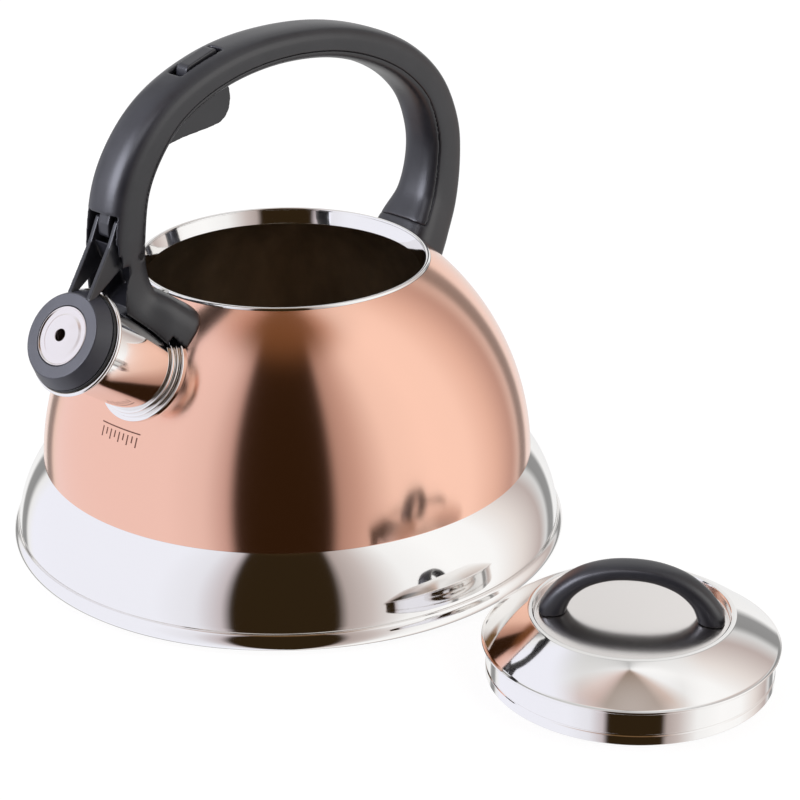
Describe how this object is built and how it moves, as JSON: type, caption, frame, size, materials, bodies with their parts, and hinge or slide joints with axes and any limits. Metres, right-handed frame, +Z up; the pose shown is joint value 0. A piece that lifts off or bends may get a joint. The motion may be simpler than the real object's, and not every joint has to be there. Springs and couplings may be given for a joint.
{
  "type": "whistling kettle",
  "caption": "Stovetop whistling kettle with a domed body, hinged spout whistle worked by a trigger in the arched handle, and a lift-off lid.",
  "frame": {"origin": "centre of the kettle's base on the surface it stands on", "axes": "+Z up, -X along the spout's side, the handle in the XZ plane, the lid lying on the -Y side"},
  "size_m": [0.2341, 0.3405, 0.205],
  "materials": {
    "copper_shell": "satin brushed copper plate outside, plain brushed steel inside",
    "polished_steel": "mirror polished stainless steel",
    "brushed_steel": "plain brushed stainless steel",
    "aluminium_disc": "plain",
    "black_plastic": "satin black heat-resistant plastic",
    "whistle_steel": "satin pressed steel",
    "silicone": "black silicone",
    "fastener_steel": "plain steel"
  },
  "bodies": {
    "kettle": {"body_shell": "copper_shell", "base_pan": "polished_steel", "foot_band": "polished_steel", "base_core": "aluminium_disc", "base_cap": "brushed_steel", "mouth_ring": "polished_steel", "spout_tube": "polished_steel", "spout_collar": "polished_steel", "handle_shell": "black_plastic", "handle_cover": "black_plastic", "front_mount": "brushed_steel", "rear_mount": "brushed_steel", "handle_screws": "fastener_steel", "whistle_pin": "fastener_steel", "trigger_pin": "fastener_steel"},
    "whistle": {"whistle_arm": "black_plastic", "whistle_outer_disc": "whistle_steel", "whistle_inner_disc": "whistle_steel", "whistle_seal": "silicone", "return_spring": "fastener_steel"},
    "trigger": {"trigger": "black_plastic"},
    "lid": {"lid_cover": "polished_steel", "lid_skirt": "polished_steel", "lid_liner": "brushed_steel", "lid_handle": "black_plastic", "lid_washers": "fastener_steel", "lid_screws": "fastener_steel"}
  },
  "joints": [
    {"name": "whistle_hinge", "type": "hinge", "parent": "kettle", "child": "whistle", "pos_m": [-0.0785, 0, 0.1368], "axis": [0, 1, 0], "range_deg": [0, 24], "stiffness_Nm_per_rad": 0.05, "springref_deg": -28.65},
    {"name": "trigger_hinge", "type": "hinge", "parent": "kettle", "child": "trigger", "pos_m": [-0.059, 0, 0.1829], "axis": [0, 1, 0], "range_deg": [-7.2, 0]},
    {"name": "lid_lift", "type": "slide", "parent": "kettle", "child": "lid", "axis": [0, 0, 1], "range_m": [0, 0.12]}
  ],
  "couplings": [
    {"joint": "trigger_hinge", "follows": "whistle_hinge", "ratio": -0.3}
  ]
}
